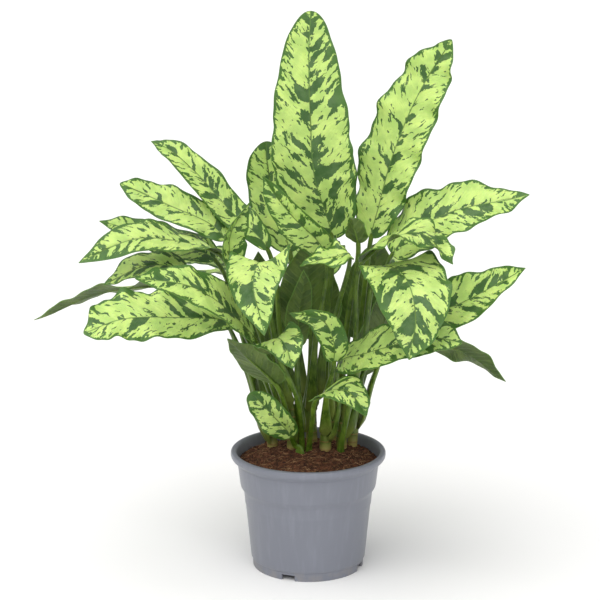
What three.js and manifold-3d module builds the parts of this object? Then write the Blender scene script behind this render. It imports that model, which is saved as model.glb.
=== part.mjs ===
// Potted aglaonema: a clump of short canes carrying broad leaves on long stalks,
// rooted in peat in a round nursery pot.
// Millimetres, +Z up. The origin is the centre of the pot's underside, on the
// surface that the pot stands on, and -Y is the side the plant is seen from.
import * as THREE from 'three';
import { mergeVertices } from 'three/addons/utils/BufferGeometryUtils.js';
import Module from 'manifold-3d';

const wasm = await Module();
wasm.setup();

// ---- driving dimensions ----
const TOUCH_GAP = 0.4; // room between pieces that touch in the real plant

const POT_HEIGHT = 131;
const RIM_RADIUS = 85;
const FOOT_RADIUS = 61;
const WALL = 1.8;
const FLOOR_RISE = 7; // underside of the pot's floor above the surface
const PAD_RADIUS = 19; // flat pad in the middle of the base
const POT_SEGMENTS = 48;
const POST_SIDES = 12;
const CUT_SPARE = 5; // how far a cutter runs past what it cuts
const NOTCH_COUNT = 4;
const NOTCH_WIDTH = 15;
const NOTCH_DEPTH = 12;
const NOTCH_HEIGHT = 6.5;
const NOTCH_TURN = 249; // degrees from +X to the first notch
const DRAIN_COUNT = 6;
const DRAIN_RADIUS = 4.5;
const DRAIN_CIRCLE = 40;

const SOIL_EDGE = 120; // height of the peat at the pot's wall
const SOIL_CROWN = 127.5; // height of the peat among the canes
const SOCKET_ROOM = 0.9; // the peat stands off a cane or stalk by this much
const SOCKET_FLOOR = 108; // how deep canes and stalks reach into the peat

const CANE_STRAIGHT = 2; // how far above the peat a cane stays upright
const CANE_TAPER = 0.2;
const CANE_SIDES = 10;
const CANE_STATIONS = [0, 0.3, 0.5, 0.7, 0.88, 0.97, 1];
const CANE_TOP_SHARE = 0.5; // width of a cane's rounded top

const STALK_RADIUS = 3.1;
const STALK_END_RADIUS = 2.2;
const STALK_FLATNESS = 0.9;
const STALK_STRAIGHT = 4; // how far above the peat a stalk stays upright
const STALK_CLEARANCE = 0.7; // between a stalk and the cane that it clasps
const BLADE_HALF_THICKNESS = 0.6;
const BASE_SWELLING = 1.4; // extra half thickness where the stalk runs into the blade
const SWELLING_REACH = 0.12;
const TIP_HALF_WIDTH = 1.2;
const RING_POINTS = 8;
const USUAL_SHAPE = [0.42, 0.78];
const LEAST_OUTLINE = 0.03;
const BLADE_STATIONS = [0.025, 0.09, 0.2, 0.34, 0.48, 0.62, 0.76, 0.89, 0.97, 1];
const STALK_STATIONS = [0, 0.22, 0.45, 0.68, 0.9, 1];

// Canes: foot x, y in the peat, top x, y, z, and radius at the foot.
const CANES = {
  cane_left: { foot: [-40, 34], top: [-47, 35, 166], radius: 6 },
  cane_left_front: { foot: [-17, 20], top: [-20, 19, 182], radius: 6.5 },
  cane_back: { foot: [4, 50], top: [3, 52, 192], radius: 6.5 },
  cane_front: { foot: [19, 15], top: [20, 12, 176], radius: 6.5 },
  cane_right: { foot: [37, 27], top: [40, 26, 184], radius: 6 },
  cane_right_back: { foot: [50, 42], top: [57, 46, 166], radius: 5.5 },
  cane_back_right: { foot: [28, 60], top: [29, 63, 186], radius: 5.5 },
};

// Leaves. foot is where the stalk leaves its cane (cane, direction in degrees,
// height) or the peat (x, y); knee is a point on the stalk; midrib runs from the
// blade's base to its tip; face is the way the upper surface looks; shape is
// the blade's outline; fold lifts the margins towards the upper side; twist rolls the
// blade towards its tip.
const LEAVES = {
  leaf_crown_tall: {
    foot: ['cane_back', 320, 176], knee: [20, 32, 270],
    midrib: [[25, 22, 365], [5, 10, 430], [2, 4, 505], [2, 12, 606]],
    face: [0.05, -1, 0.1], width: 85, shape: [0.36, 0.48], fold: 0.12,
  },
  leaf_crown_right: {
    foot: ['cane_right', 60, 168], knee: [58, 34, 270],
    midrib: [[68, 30, 361], [83, 30, 427], [104, 25, 486], [129, 20, 540], [150, 15, 576]],
    face: [-0.45, -0.85, 0.2], width: 70, shape: [0.42, 0.62], fold: 0.12,
  },
  leaf_right_upper: {
    foot: ['cane_right', 15, 152], knee: [74, 20, 260],
    midrib: [[90, 10, 347], [148, -5, 395], [232, -20, 417]],
    face: [-0.15, -0.65, 0.75], width: 74, fold: 0.12,
  },
  leaf_right_arch: {
    foot: ['cane_right', 290, 160], knee: [50, -14, 260],
    midrib: [[57, -34, 349], [113, -65, 386], [148, -80, 355]],
    face: [0, -0.2, 1], width: 60, fold: 0.1,
  },
  leaf_front_right: {
    foot: [36, 8], knee: [58, -16, 245],
    midrib: [[72, -40, 341], [91, -76, 348], [103, -112, 333], [108, -130, 303], [101, -134, 268]],
    face: [0.12, -0.8, 0.6], width: 84, shape: [0.42, 0.75], fold: 0.12,
  },
  leaf_right_middle: {
    foot: ['cane_right_back', 320, 146], knee: [72, 2, 214],
    midrib: [[99, -35, 284], [160, -55, 308], [223, -75, 350]],
    face: [-0.25, -0.6, 0.75], width: 70, fold: 0.14,
  },
  leaf_right_low: {
    foot: ['cane_front', 330, 140], knee: [33, -3, 185],
    midrib: [[32, -12, 229], [61, -58, 256], [94, -84, 273], [129, -100, 282], [156, -110, 279]],
    face: [-0.2, -0.55, 0.8], width: 60, shape: [0.45, 0.6], fold: 0.12,
  },
  leaf_right_back_low: {
    foot: ['cane_right_back', 10, 150], knee: [70, 42, 196],
    midrib: [[90, 32, 233], [162, 42, 234], [220, 45, 195]],
    face: [0.35, 0.6, 0.7], width: 50, fold: 0.1,
  },
  leaf_small_right_low: {
    foot: [1, 6], knee: [4, -22, 168],
    midrib: [[9, -52, 204], [38, -84, 223], [60, -98, 198]],
    face: [0.15, -0.5, 0.85], width: 48, fold: 0.1,
  },
  leaf_small_left_low: {
    foot: [-10, 2], knee: [-14, 2, 134],
    midrib: [[-19, -4, 146], [-39, -20, 178], [-63, -28, 203]],
    face: [-0.4, -0.85, 0.4], width: 35, shape: [0.4, 0.42], fold: 0.3,
  },
  leaf_crown_narrow: {
    foot: ['cane_back', 270, 160], knee: [8, 18, 250],
    midrib: [[19, -10, 345], [-16, -30, 395], [-48, -40, 440]],
    face: [-0.55, -0.55, 0.6], width: 38, fold: 0.4,
  },
  leaf_crown_back: {
    foot: ['cane_back', 170, 180], knee: [-14, 56, 260],
    midrib: [[-20, 60, 339], [-40, 70, 401], [-46, 75, 460]],
    face: [-0.1, -0.9, 0.3], width: 55, shape: [0.4, 0.5], fold: 0.15,
  },
  leaf_small_left_upright: {
    foot: ['cane_left_front', 160, 170], knee: [-52, 6, 260],
    midrib: [[-79, -15, 339], [-83, -25, 375], [-62, -20, 409]],
    face: [0.6, -0.6, 0.4], width: 32, fold: 0.6,
  },
  leaf_front_left: {
    foot: ['cane_left_front', 255, 176], knee: [-35, -10, 250],
    midrib: [[-49, -40, 340], [-52, -68, 354], [-55, -100, 332], [-45, -125, 291]],
    face: [0.05, -0.85, 0.5], width: 62, fold: 0.12,
  },
  leaf_left_front_low: {
    foot: ['cane_left_front', 238, 146], knee: [-38, -20, 205],
    midrib: [[-57, -50, 269], [-111, -105, 334], [-174, -130, 351]],
    face: [0.1, -0.6, 0.8], width: 56, fold: 0.12,
  },
  leaf_left_long: {
    foot: ['cane_left', 278, 156], knee: [-64, 12, 260],
    midrib: [[-95, 0, 349], [-131, -5, 363], [-183, -25, 372], [-241, -40, 348]],
    face: [-0.05, -0.45, 0.9], width: 56, fold: 0.1, twist: -70,
  },
  leaf_left_upper: {
    foot: ['cane_left', 168, 158], knee: [-66, 33, 260],
    midrib: [[-89, 25, 360], [-152, 35, 398], [-204, 40, 419]],
    face: [0.2, -0.75, 0.65], width: 44, shape: [0.4, 0.55], fold: 0.12,
  },
  leaf_left_high: {
    foot: ['cane_left_front', 118, 172], knee: [-31, 29, 260],
    midrib: [[-44, 30, 348], [-87, 40, 390], [-123, 50, 430], [-153, 58, 456], [-171, 60, 462]],
    face: [0.45, -0.7, 0.55], width: 42, shape: [0.42, 0.85], fold: 0.12,
  },
  leaf_left_back_upper: {
    foot: ['cane_left', 122, 142], knee: [-72, 44, 246],
    midrib: [[-102, 45, 333], [-169, 60, 355], [-230, 65, 373]],
    face: [0.1, -0.5, 0.85], width: 50, fold: 0.12,
  },
  leaf_left_under: {
    foot: ['cane_left', 236, 132], knee: [-72, 3, 240],
    midrib: [[-127, -5, 328], [-174, -15, 340], [-218, -20, 320]],
    face: [-0.1, -0.4, 0.9], width: 50, fold: 0.1,
  },
  leaf_left_back_long: {
    foot: ['cane_left', 195, 134], knee: [-69, 21, 218],
    midrib: [[-112, 20, 300], [-208, 30, 304], [-301, 35, 268]],
    face: [-0.1, 0.42, 0.9], width: 50, fold: 0.1,
  },
  leaf_left_low: {
    foot: ['cane_left_front', 200, 150], knee: [-50, -11, 220],
    midrib: [[-78, -45, 283], [-148, -85, 301], [-193, -98, 300], [-230, -105, 288]],
    face: [-0.05, -0.55, 0.85], width: 72, shape: [0.55, 0.6], fold: 0.12,
  },
  leaf_left_low_turned: {
    foot: ['cane_left_front', 278, 136], knee: [-24, -12, 178],
    midrib: [[-35, -33, 214], [-61, -53, 246], [-85, -63, 272]],
    face: [0.3, 0.75, 0.6], width: 45, fold: 0.12,
  },
  leaf_front_small: {
    foot: [-7, 11], knee: [-12, -24, 195],
    midrib: [[-34, -60, 257], [-33, -75, 276], [-25, -90, 271], [-16, -95, 248]],
    face: [0.1, -0.8, 0.6], width: 50, fold: 0.1,
  },
  leaf_front_middle: {
    foot: ['cane_front', 265, 148], knee: [20, -18, 200],
    midrib: [[27, -42, 241], [16, -64, 291], [-20, -82, 304]],
    face: [-0.4, -0.85, 0.3], width: 31, fold: 0.15,
  },
  leaf_right_turned: {
    foot: ['cane_right', 337, 140], knee: [57, 19, 192],
    midrib: [[59, 12, 211], [76, 6, 258], [98, -4, 316]],
    face: [-0.3, 0.85, 0.35], width: 48, shape: [0.5, 0.6], fold: 0.12,
  },
  leaf_middle_flat: {
    foot: ['cane_front', 300, 164], knee: [27, -12, 270],
    midrib: [[42, -43, 358], [26, -50, 358], [-9, -56, 348]],
    face: [0.1, -0.25, 0.95], width: 44, fold: 0.1,
  },
  leaf_crown_bud: {
    foot: ['cane_back_right', 290, 170], knee: [44, 20, 280],
    midrib: [[53, -5, 362], [44, -3, 390]],
    face: [0.2, 0.8, 0.5], width: 26, fold: 0.3,
  },
  leaf_left_back_far: {
    foot: ['cane_left', 78, 150], knee: [-60, 56, 240],
    midrib: [[-76, 70, 319], [-116, 95, 325], [-156, 110, 317]],
    face: [0, -0.3, 0.95], width: 44, fold: 0.1,
  },
  leaf_back_left: {
    foot: ['cane_back', 120, 150], knee: [-30, 74, 230],
    midrib: [[-50, 90, 290], [-105, 150, 300], [-160, 200, 265]],
    face: [-0.2, 0.2, 0.95], width: 66, fold: 0.12,
  },
  leaf_back_middle: {
    foot: ['cane_back', 80, 160], knee: [8, 78, 240],
    midrib: [[10, 100, 300], [2, 170, 325], [-10, 250, 290]],
    face: [0, 0.2, 0.95], width: 76, fold: 0.12,
  },
  leaf_back_right: {
    foot: ['cane_back_right', 60, 150], knee: [44, 78, 230],
    midrib: [[56, 92, 290], [110, 150, 310], [165, 195, 270]],
    face: [0.2, 0.2, 0.95], width: 66, fold: 0.12,
  },
  leaf_back_upright: {
    foot: ['cane_back_right', 120, 168], knee: [26, 72, 260],
    midrib: [[25, 78, 350], [24, 100, 430], [18, 150, 500]],
    face: [0, -0.85, 0.5], width: 62, fold: 0.12,
  },
  leaf_centre_back: {
    foot: ['cane_back', 215, 140], knee: [2, 42, 205],
    midrib: [[3, 40, 245], [2, 42, 300], [-1, 46, 356]],
    face: [0, 0.95, 0.2], width: 70, fold: 0.1,
  },
  leaf_centre_left: {
    foot: ['cane_left', 20, 138], knee: [-36, 42, 200],
    midrib: [[-41, 44, 236], [-48, 47, 290], [-55, 50, 342]],
    face: [-0.1, 0.95, 0.2], width: 44, fold: 0.1,
  },
  leaf_centre_right: {
    foot: ['cane_back_right', 15, 140], knee: [55, 56, 200],
    midrib: [[59, 56, 240], [69, 58, 300], [80, 60, 352]],
    face: [0.1, 0.95, 0.2], width: 66, fold: 0.1,
  },
  leaf_centre_front: {
    foot: ['cane_left_front', 20, 140], knee: [-12, 7, 210],
    midrib: [[-12, 6, 245], [-9, 3, 290], [-5, 0, 332]],
    face: [0.1, 0.95, 0.1], width: 28, fold: 0.15,
  },
};

// ---- materials ----
const material = (color, roughness) => new THREE.MeshStandardMaterial({ color, roughness, metalness: 0 });
const potPlastic = material(0x7c8290, 0.45);
const peat = material(0x4a2d20, 1);
const caneSkin = material(0x8a9a3a, 0.5);
const leafBlade = material(0x9dbf5c, 0.4);

// ---- solids ----
function toSolid(geometry) {
  const bare = geometry.clone();
  bare.deleteAttribute('normal');
  bare.deleteAttribute('uv');
  const merged = mergeVertices(bare, 1e-4);
  return new wasm.Manifold(new wasm.Mesh({
    numProp: 3,
    vertProperties: new Float32Array(merged.attributes.position.array),
    triVerts: new Uint32Array(merged.index.array),
  }));
}

function toGeometry(solid) {
  const mesh = solid.getMesh();
  const geometry = new THREE.BufferGeometry();
  geometry.setAttribute('position', new THREE.BufferAttribute(mesh.vertProperties, 3));
  geometry.setIndex(new THREE.BufferAttribute(mesh.triVerts, 1));
  return geometry;
}

// A closed skin over rings of points that run counter-clockwise about the way they are strung.
function loft(rings) {
  const count = rings[0].length;
  const positions = rings.flat().flatMap((point) => point.toArray());
  const faces = [];
  for (let ring = 0; ring + 1 < rings.length; ring += 1) {
    for (let i = 0; i < count; i += 1) {
      const a = ring * count + i;
      const b = ring * count + ((i + 1) % count);
      faces.push(a, b, b + count, a, b + count, a + count);
    }
  }
  const last = (rings.length - 1) * count;
  for (let i = 1; i + 1 < count; i += 1) {
    faces.push(0, i + 1, i, last, last + i, last + i + 1);
  }
  const geometry = new THREE.BufferGeometry();
  geometry.setAttribute('position', new THREE.Float32BufferAttribute(positions, 3));
  geometry.setIndex(faces);
  return geometry;
}

function lathe(profile, segments) {
  const points = profile.map(([radius, height]) => new THREE.Vector2(radius, height));
  return new THREE.LatheGeometry(points, segments).rotateX(Math.PI / 2);
}

function upright(radius, bottom, top, x, y, sides) {
  const post = new THREE.CylinderGeometry(radius, radius, top - bottom, sides).rotateX(Math.PI / 2);
  return post.translate(x, y, (top + bottom) / 2);
}

// ---- pot ----
function potProfile() {
  const rim = RIM_RADIUS;
  const top = POT_HEIGHT;
  const foot = FOOT_RADIUS;
  const floor = FLOOR_RISE + WALL;
  const outside = [
    [0, 0], [PAD_RADIUS, 0], [PAD_RADIUS + 4, FLOOR_RISE], [foot - 4, FLOOR_RISE],
    [foot - 3, 0], [foot, 0], [foot + 0.4, 9], [foot + 1.9, 10.5], [foot + 8.4, 72],
    [foot + 9.5, 84], [rim - 10.6, 92], [rim - 7.4, 118], [rim - 1.5, 123.5],
    [rim, 126], [rim, top - 2.2], [rim - 1.4, top - 0.3], [rim - 3, top],
  ];
  const inside = [
    [rim - 5, top], [rim - 6.6, top - 1.5], [rim - 8, top - 6], [rim - 9.3, 117], [rim - 12.5, 92.5],
    [foot + 7.6, 84.5], [foot + 6.5, 72], [foot - 0.3, floor + 1.5], [foot - 2, floor],
    [PAD_RADIUS + 2.5, floor], [PAD_RADIUS - 1.5, WALL], [0, WALL],
  ];
  return outside.concat(inside);
}

function pot() {
  let solid = toSolid(lathe(potProfile(), POT_SEGMENTS));
  for (let i = 0; i < NOTCH_COUNT; i += 1) {
    const turn = THREE.MathUtils.degToRad(NOTCH_TURN + (360 / NOTCH_COUNT) * i);
    const notch = new THREE.BoxGeometry(NOTCH_DEPTH, NOTCH_WIDTH, NOTCH_HEIGHT + CUT_SPARE);
    notch.translate(FOOT_RADIUS, 0, (NOTCH_HEIGHT - CUT_SPARE) / 2).rotateZ(turn);
    solid = solid.subtract(toSolid(notch));
  }
  for (let i = 0; i < DRAIN_COUNT; i += 1) {
    const turn = (2 * Math.PI * i) / DRAIN_COUNT;
    const x = DRAIN_CIRCLE * Math.cos(turn);
    const y = DRAIN_CIRCLE * Math.sin(turn);
    const top = FLOOR_RISE + WALL + CUT_SPARE;
    const hole = upright(DRAIN_RADIUS, FLOOR_RISE - CUT_SPARE, top, x, y, POST_SIDES);
    solid = solid.subtract(toSolid(hole));
  }
  return toGeometry(solid);
}

// ---- peat ----
function soil() {
  const foot = FOOT_RADIUS - TOUCH_GAP;
  const rim = RIM_RADIUS - TOUCH_GAP;
  const floor = FLOOR_RISE + WALL + TOUCH_GAP;
  const profile = [
    [0, WALL + TOUCH_GAP], [PAD_RADIUS - 2, WALL + TOUCH_GAP], [PAD_RADIUS + 2, floor], [foot - 3, floor],
    [foot - 1, floor + 2], [foot + 6, 72], [foot + 7, 84], [rim - 13.2, 93], [rim - 9.6, SOIL_EDGE],
    [60, SOIL_EDGE + 2.5], [40, SOIL_CROWN - 1.5], [20, SOIL_CROWN - 0.3], [0, SOIL_CROWN],
  ];
  let solid = toSolid(lathe(profile, POT_SEGMENTS));
  const socket = (x, y, radius) => toSolid(
    upright(radius + SOCKET_ROOM, SOCKET_FLOOR - TOUCH_GAP, SOIL_CROWN + CUT_SPARE, x, y, POST_SIDES),
  );
  for (const { foot: [x, y], radius } of Object.values(CANES)) {
    solid = solid.subtract(socket(x, y, radius));
  }
  for (const { foot: [x, y] } of Object.values(LEAVES).filter((leaf) => leaf.foot.length === 2)) {
    solid = solid.subtract(socket(x, y, STALK_RADIUS));
  }
  return toGeometry(solid);
}

// ---- canes ----
function caneAxis({ foot, top }) {
  return new THREE.CatmullRomCurve3([
    new THREE.Vector3(foot[0], foot[1], SOCKET_FLOOR),
    new THREE.Vector3(foot[0], foot[1], SOIL_CROWN + CANE_STRAIGHT),
    new THREE.Vector3(...top),
  ]);
}

function caneRadius(cane, height) {
  const share = THREE.MathUtils.clamp((height - SOIL_CROWN) / (cane.top[2] - SOIL_CROWN), 0, 1);
  return cane.radius * (1 - CANE_TAPER * share);
}

function cane(spec) {
  const axis = caneAxis(spec);
  const rings = CANE_STATIONS.map((share) => {
    const centre = axis.getPoint(share);
    const rounding = share === 1 ? CANE_TOP_SHARE : 1;
    const radius = caneRadius(spec, centre.z) * rounding;
    return Array.from({ length: CANE_SIDES }, (_, i) => {
      const turn = (2 * Math.PI * i) / CANE_SIDES;
      return new THREE.Vector3(radius * Math.cos(turn), radius * Math.sin(turn), 0).add(centre);
    });
  });
  return loft(rings);
}

function pointOnCane(name, direction, height) {
  const spec = CANES[name];
  const share = (height - SOIL_CROWN) / (spec.top[2] - SOIL_CROWN);
  const reach = caneRadius(spec, height) + STALK_RADIUS + STALK_CLEARANCE;
  const turn = THREE.MathUtils.degToRad(direction);
  return new THREE.Vector3(
    THREE.MathUtils.lerp(spec.foot[0], spec.top[0], share) + reach * Math.cos(turn),
    THREE.MathUtils.lerp(spec.foot[1], spec.top[1], share) + reach * Math.sin(turn),
    height,
  );
}

// ---- leaves ----
function stalkStart({ foot }) {
  return foot.length === 3
    ? [pointOnCane(...foot)]
    : [
      new THREE.Vector3(...foot, SOCKET_FLOOR),
      new THREE.Vector3(...foot, SOIL_CROWN + STALK_STRAIGHT),
    ];
}

// Share of the full width at a share of the blade's length. The first power rounds the
// base and the second draws the tip out.
function bladeOutline(along, [rising, falling]) {
  const fullest = rising / (rising + falling);
  const most = fullest ** rising * (1 - fullest) ** falling;
  return Math.max((along ** rising * (1 - along) ** falling) / most, LEAST_OUTLINE);
}

function leafStations(leaf) {
  const start = stalkStart(leaf);
  const midrib = leaf.midrib.map((point) => new THREE.Vector3(...point));
  const knee = new THREE.Vector3(...leaf.knee);
  const spine = new THREE.CatmullRomCurve3([...start, knee, ...midrib], false, 'centripetal');
  const baseShare = (start.length + 1) / (spine.points.length - 1);
  const stalk = STALK_STATIONS.map((along) => ({ share: along * baseShare, along: 0, stalk: along }));
  const blade = BLADE_STATIONS.map((along) => (
    { share: baseShare + along * (1 - baseShare), along, stalk: 1 }
  ));
  return { spine, baseShare, stations: [...stalk, ...blade] };
}

// Half the width and half the thickness of a leaf, at a share of its stalk and of its blade.
function leafSection(leaf, stalk, along) {
  if (along === 0) {
    const radius = THREE.MathUtils.lerp(STALK_RADIUS, STALK_END_RADIUS, stalk);
    return [radius, radius * STALK_FLATNESS];
  }
  const width = (leaf.width / 2) * bladeOutline(along, leaf.shape ?? USUAL_SHAPE);
  const swelling = Math.max(0, SWELLING_REACH - along) / SWELLING_REACH;
  return [Math.max(width, TIP_HALF_WIDTH), BLADE_HALF_THICKNESS + BASE_SWELLING * swelling];
}

function leafRings(leaf) {
  const { spine, baseShare, stations } = leafStations(leaf);
  const middle = spine.getTangent(baseShare + 0.5 * (1 - baseShare));
  const across = new THREE.Vector3(...leaf.face).cross(middle).normalize();
  return stations.map(({ share, along, stalk }) => {
    const centre = spine.getPoint(share);
    const forward = spine.getTangent(share);
    const side = across.clone().addScaledVector(forward, -across.dot(forward)).normalize();
    const roll = THREE.MathUtils.degToRad((leaf.twist ?? 0) * (along - 0.5));
    side.applyAxisAngle(forward, roll);
    const up = forward.clone().cross(side);
    const [halfWidth, halfDepth] = leafSection(leaf, stalk, along);
    const lift = along === 0 ? 0 : leaf.fold;
    return Array.from({ length: RING_POINTS }, (_, i) => {
      const turn = (2 * Math.PI * i) / RING_POINTS;
      const out = halfWidth * Math.cos(turn);
      return centre.clone()
        .addScaledVector(side, out)
        .addScaledVector(up, halfDepth * Math.sin(turn) + lift * Math.abs(out));
    });
  });
}

// ---- the plant ----
function piece(name, geometry, surface) {
  const mesh = new THREE.Mesh(geometry, surface);
  mesh.name = name;
  return mesh;
}

const plant = new THREE.Group();
plant.add(piece('pot', pot(), potPlastic));
plant.add(piece('soil', soil(), peat));
for (const [name, spec] of Object.entries(CANES)) {
  plant.add(piece(name, cane(spec), caneSkin));
}
for (const [name, leaf] of Object.entries(LEAVES)) {
  plant.add(piece(name, loft(leafRings(leaf)), leafBlade));
}

export default plant;
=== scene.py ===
import math
import random

import bpy
from mathutils import Matrix, Vector, noise


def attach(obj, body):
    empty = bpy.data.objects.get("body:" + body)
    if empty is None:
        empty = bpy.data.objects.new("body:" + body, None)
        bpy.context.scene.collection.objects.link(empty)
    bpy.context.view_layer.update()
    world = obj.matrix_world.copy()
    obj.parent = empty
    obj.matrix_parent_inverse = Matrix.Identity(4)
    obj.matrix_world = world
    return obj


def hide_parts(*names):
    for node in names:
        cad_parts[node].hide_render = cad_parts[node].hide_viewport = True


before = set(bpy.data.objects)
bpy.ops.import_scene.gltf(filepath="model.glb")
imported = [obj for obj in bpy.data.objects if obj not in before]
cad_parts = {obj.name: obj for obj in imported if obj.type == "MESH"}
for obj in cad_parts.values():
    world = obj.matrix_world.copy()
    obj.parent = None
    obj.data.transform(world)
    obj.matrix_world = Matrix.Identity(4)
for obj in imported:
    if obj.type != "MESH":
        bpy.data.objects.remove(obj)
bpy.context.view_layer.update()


# ---------------------------------------------------------------- nursery pot
# A thin round pot, injection moulded in one piece from grey-blue plastic: a rolled
# lip over a collar, a shoulder, a tapering wall and a foot ring with four drain
# notches. It stands free, so its bottom and its inside are finished too.

POT_SIDES = 144
POT_OUTSIDE = [
    (0.019, 0), (0.0232, 0.007), (0.057, 0.007), (0.0582, 0), (0.061, 0), (0.0614, 0.009),
    (0.0629, 0.0105), (0.0688, 0.0700), (0.0693, 0.0713), (0.0697, 0.0740), (0.0705, 0.0840),
    (0.0712, 0.0862), (0.0732, 0.0896), (0.0742, 0.0915), (0.0747, 0.0937), (0.0776, 0.1178),
    (0.0792, 0.1196), (0.0834, 0.1230), (0.0846, 0.1248), (0.0850, 0.1266), (0.0849, 0.1286),
    (0.0842, 0.1301), (0.0828, 0.1310),
]
POT_INSIDE = [
    (0.0806, 0.1310), (0.0792, 0.1303), (0.0782, 0.1288), (0.0770, 0.1250), (0.0757, 0.1170),
    (0.0725, 0.0925), (0.0686, 0.0845), (0.0675, 0.0720), (0.0607, 0.0103), (0.0590, 0.0088),
    (0.0215, 0.0088), (0.0175, 0.0018),
]
NOTCHES = 4
NOTCH_TURN = 249
NOTCH_CIRCLE = 0.061
NOTCH_SIZE = (0.012, 0.015, 0.0115)
NOTCH_HEIGHT = 0.0065
DRAINS = 6
DRAIN_SIDES = 32
DRAIN_RADIUS = 0.0045
DRAIN_CIRCLE = 0.040
DRAIN_MIDDLE = 0.009
DRAIN_DEPTH = 0.012
POT_EDGE_ROUND = 0.0005
POT_EDGE_SHARPER_THAN = 38
PLASTIC_DARK = (0.178, 0.188, 0.225)
PLASTIC_LIGHT = (0.215, 0.226, 0.268)
PLASTIC_STREAK = (0.250, 0.265, 0.315)
DUST = (0.30, 0.28, 0.26)


class Value:
    """A number, colour or vector on its way through the nodes of one finish."""

    def __init__(self, tree, socket=None):
        self.tree = tree
        self.socket = socket

    def node(self, kind, settings, sockets, out=0):
        made = self.tree.nodes.new(kind)
        for key, setting in settings.items():
            setattr(made, key, setting)
        for key, value in sockets.items():
            if isinstance(value, Value):
                self.tree.links.new(value.socket, made.inputs[key])
            else:
                made.inputs[key].default_value = value
        return Value(self.tree, made.outputs[out])

    def math(self, operation, first, second=0.0):
        return self.node("ShaderNodeMath", {"operation": operation}, {0: first, 1: second})

    def __add__(self, other):
        return self.math("ADD", self, other)

    def __sub__(self, other):
        return self.math("SUBTRACT", self, other)

    def __rsub__(self, other):
        return self.math("SUBTRACT", other, self)

    def __mul__(self, other):
        return self.math("MULTIPLY", self, other)

    def __abs__(self):
        return self.math("ABSOLUTE", self)

    __radd__ = __add__
    __rmul__ = __mul__

    def most(self, other):
        return self.math("MAXIMUM", self, other)

    def above(self, limit):
        return self.math("GREATER_THAN", self, limit)

    def sine(self):
        return self.math("SINE", self)

    def object_place(self):
        return self.node("ShaderNodeTexCoord", {}, {}, out=3)

    def surface_map(self, name):
        return self.node("ShaderNodeUVMap", {"uv_map": name}, {})

    def parts(self):
        split = self.node("ShaderNodeSeparateXYZ", {}, {"Vector": self})
        return [Value(self.tree, socket) for socket in split.socket.node.outputs]

    def vector(self, x, y, z):
        return self.node("ShaderNodeCombineXYZ", {}, {"X": x, "Y": y, "Z": z})

    def scaled(self, factor):
        sockets = {0: self, "Scale": factor}
        return self.node("ShaderNodeVectorMath", {"operation": "SCALE"}, sockets)

    def stretched(self, x, y, z):
        sockets = {0: self, 1: (x, y, z)}
        return self.node("ShaderNodeVectorMath", {"operation": "MULTIPLY"}, sockets)

    def grain(self, scale, detail=3.0, roughness=0.55):
        sockets = {"Vector": self, "Scale": scale, "Detail": detail, "Roughness": roughness}
        return self.node("ShaderNodeTexNoise", {}, sockets)

    def rise(self, low, high):
        """0 below low and 1 above high, or the other way round where low is the larger."""
        ends = {"Value": self, "From Min": low, "From Max": high}
        return self.node("ShaderNodeMapRange", {"interpolation_type": "SMOOTHSTEP"}, ends)

    def between(self, low, high):
        """A colour between two others, by this number."""
        low, high = [c if isinstance(c, Value) else (*c, 1) for c in (low, high)]
        sockets = {0: self, 6: low, 7: high}
        return self.node("ShaderNodeMix", {"data_type": "RGBA"}, sockets, out=2)


def new_finish(name):
    finish = bpy.data.materials.new(name)
    finish.use_nodes = True
    return finish, Value(finish.node_tree), finish.node_tree.nodes["Principled BSDF"]


def wire(value, shader, socket):
    value.tree.links.new(value.socket, shader.inputs[socket])


def relief(height, shader, distance, strength=1.0):
    sockets = {"Height": height, "Distance": distance, "Strength": strength}
    wire(height.node("ShaderNodeBump", {}, sockets), shader, "Normal")


def nothing_selected():
    if bpy.context.mode != "OBJECT":
        bpy.ops.object.mode_set(mode="OBJECT")
    bpy.ops.object.select_all(action="DESELECT")


def only(piece):
    nothing_selected()
    piece.select_set(True)
    bpy.context.view_layer.objects.active = piece


def apply_modifier(piece, kind, **settings):
    only(piece)
    added = piece.modifiers.new(kind.lower(), kind)
    for key, setting in settings.items():
        setattr(added, key, setting)
    bpy.ops.object.modifier_apply(modifier=added.name)


def smooth(piece, degrees):
    only(piece)
    bpy.ops.object.shade_smooth_by_angle(angle=math.radians(degrees))


def hand_over(piece, node):
    """Names the piece and says which modelled node it stands for."""
    piece.name = node + "_finished"
    piece.data.name = piece.name
    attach(piece, "root")
    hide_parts(node)


def pot_plastic():
    finish, start, shader = new_finish("grey_blue_plastic")
    place = start.object_place()
    height = place.parts()[2]
    clouds = place.grain(9.0, 3.0)
    streaks = place.stretched(1, 1, 0.12).grain(160.0, 2.0)
    shade = clouds.between(PLASTIC_DARK, PLASTIC_LIGHT)
    shade = (streaks.rise(0.45, 0.75) * 0.35).between(shade, PLASTIC_STREAK)
    dust = height.rise(0.016, 0.002) * place.grain(70.0).rise(0.42, 0.62)
    shade = (dust * 0.45).between(shade, DUST)
    wire(shade, shader, "Base Color")
    wire(clouds * 0.14 + streaks * 0.10 + dust * 0.2 + 0.24, shader, "Roughness")
    relief(place.grain(1400.0, 2.0) + streaks * 0.6, shader, 0.00006)
    shader.inputs["Specular IOR Level"].default_value = 0.45
    return finish


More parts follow.
